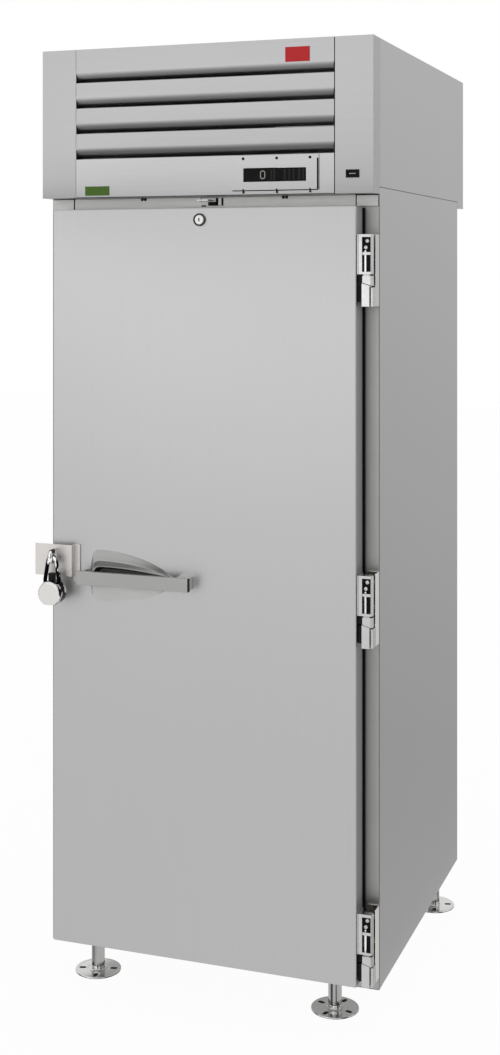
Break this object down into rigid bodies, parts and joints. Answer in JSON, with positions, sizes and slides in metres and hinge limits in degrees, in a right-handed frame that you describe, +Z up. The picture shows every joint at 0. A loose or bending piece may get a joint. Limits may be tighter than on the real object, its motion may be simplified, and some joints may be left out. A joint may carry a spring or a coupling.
{
  "type": "reach-in refrigerator",
  "caption": "Tall stainless steel reach-in refrigerator on levelling feet, with a solid hinged door, a bar pull over a recess, a hasp with a padlock and a louvred machine hood.",
  "frame": {"origin": "middle of the whole object's footprint, on the floor", "axes": "+X towards the hinge side, +Y from the door to the back, +Z up"},
  "size_m": [0.75, 0.9394, 1.9977],
  "materials": {
    "stainless": "satin",
    "polished_steel": "polished",
    "galvanised_steel": "matte",
    "aluminium": "satin",
    "copper": "satin",
    "foam": "matte",
    "black_enamel": "satin",
    "black_plastic": "satin",
    "grey_rubber": "matte",
    "lamp_plastic": "satin"
  },
  "bodies": {
    "cabinet": {"cabinet_outer_shell": "stainless", "cabinet_face_frame": "stainless", "cabinet_inner_liner": "aluminium", "cabinet_insulation": "foam", "door_lock_keeper": "polished_steel", "shelf_rack_left": "stainless", "shelf_rack_right": "stainless", "shelf_lower": "polished_steel", "shelf_middle": "polished_steel", "shelf_upper": "polished_steel", "evaporator_housing": "aluminium", "evaporator_coil": "aluminium", "interior_light": "lamp_plastic", "hood_side_left": "stainless", "hood_side_right": "stainless", "hood_top_cover": "stainless", "hood_back": "stainless", "cord_inlet_gland": "black_plastic", "fascia_post_left": "stainless", "fascia_post_right": "stainless", "power_switch_housing": "black_plastic", "unit_base": "galvanised_steel", "compressor": "black_enamel", "condenser_coil": "aluminium", "condenser_shroud": "galvanised_steel", "condenser_fan_motor": "black_enamel", "electrical_box": "galvanised_steel", "discharge_line": "copper", "suction_and_liquid_lines": "copper", "hinge_jamb_half_lower": "polished_steel", "hinge_jamb_half_middle": "polished_steel", "hinge_jamb_half_upper": "polished_steel", "leg_frame": "polished_steel"},
    "louvre_panel": {"louvre_panel": "stainless", "control_cover": "stainless", "temperature_controller": "black_plastic"},
    "power_rocker": {"power_rocker": "black_plastic"},
    "evaporator_fan": {"evaporator_fan": "black_plastic"},
    "condenser_fan": {"condenser_fan": "aluminium"},
    "hinge_pins": {"hinge_pin_lower": "polished_steel", "hinge_pin_middle": "polished_steel", "hinge_pin_upper": "polished_steel"},
    "door": {"door_outer_skin": "stainless", "door_insulation": "foam", "door_inner_panel": "aluminium", "door_gasket": "grey_rubber", "pull_dish": "stainless", "pull_bar": "stainless", "hasp_plate": "polished_steel", "hinge_door_half_lower": "polished_steel", "hinge_door_half_middle": "polished_steel", "hinge_door_half_upper": "polished_steel"},
    "lock_plug": {"door_lock_plug": "polished_steel"},
    "lock_bolt": {"door_lock_bolt": "polished_steel"},
    "padlock_shackle": {"padlock_shackle": "polished_steel"},
    "padlock_body": {"padlock_body": "polished_steel"},
    "foot_front_left": {"foot_front_left": "polished_steel"},
    "foot_front_right": {"foot_front_right": "polished_steel"},
    "foot_rear_left": {"foot_rear_left": "polished_steel"},
    "foot_rear_right": {"foot_rear_right": "polished_steel"}
  },
  "joints": [
    {"name": "door_rise", "type": "slide", "parent": "cabinet", "child": "hinge_pins", "axis": [0, 0, 1], "range_m": [0, 0.0123]},
    {"name": "door_swing", "type": "hinge", "parent": "hinge_pins", "child": "door", "pos_m": [0.349, -0.40275, 0.88], "axis": [0, 0, 1], "range_deg": [0, 110]},
    {"name": "lock_plug_turn", "type": "hinge", "parent": "door", "child": "lock_plug", "pos_m": [0, -0.41475, 1.634], "axis": [0, 1, 0], "range_deg": [0, 90]},
    {"name": "lock_bolt_slide", "type": "slide", "parent": "door", "child": "lock_bolt", "axis": [0, 0, 1], "range_m": [0, 0.018]},
    {"name": "padlock_swing", "type": "hinge", "parent": "door", "child": "padlock_shackle", "pos_m": [-0.318, -0.45175, 0.9282], "axis": [-1, 0, 0], "range_deg": [0, 60]},
    {"name": "padlock_release", "type": "slide", "parent": "padlock_shackle", "child": "padlock_body", "axis": [0, 0, -1], "range_m": [0, 0.009]},
    {"name": "louvre_panel_swing", "type": "hinge", "parent": "cabinet", "child": "louvre_panel", "pos_m": [0, -0.39525, 1.9897], "axis": [-1, 0, 0], "range_deg": [0, 60]},
    {"name": "power_rocker_tilt", "type": "hinge", "parent": "cabinet", "child": "power_rocker", "pos_m": [0.3225, -0.40445, 1.723], "axis": [0, 0, 1], "range_deg": [0, 14]},
    {"name": "evaporator_fan_spin", "type": "hinge", "parent": "cabinet", "child": "evaporator_fan", "pos_m": [0, -0.07555, 1.5437], "axis": [0, 1, 0], "continuous": true},
    {"name": "condenser_fan_spin", "type": "hinge", "parent": "cabinet", "child": "condenser_fan", "pos_m": [-0.07, -0.22045, 1.8176], "axis": [0, 1, 0], "continuous": true},
    {"name": "foot_front_left_level", "type": "slide", "parent": "cabinet", "child": "foot_front_left", "axis": [0, 0, -1], "range_m": [0, 0.02]},
    {"name": "foot_front_right_level", "type": "slide", "parent": "cabinet", "child": "foot_front_right", "axis": [0, 0, -1], "range_m": [0, 0.02]},
    {"name": "foot_rear_left_level", "type": "slide", "parent": "cabinet", "child": "foot_rear_left", "axis": [0, 0, -1], "range_m": [0, 0.02]},
    {"name": "foot_rear_right_level", "type": "slide", "parent": "cabinet", "child": "foot_rear_right", "axis": [0, 0, -1], "range_m": [0, 0.02]}
  ],
  "couplings": [
    {"joint": "door_rise", "follows": "door_swing", "m_per_rad": 0.00637},
    {"joint": "lock_bolt_slide", "follows": "lock_plug_turn", "m_per_rad": 0.011459}
  ]
}
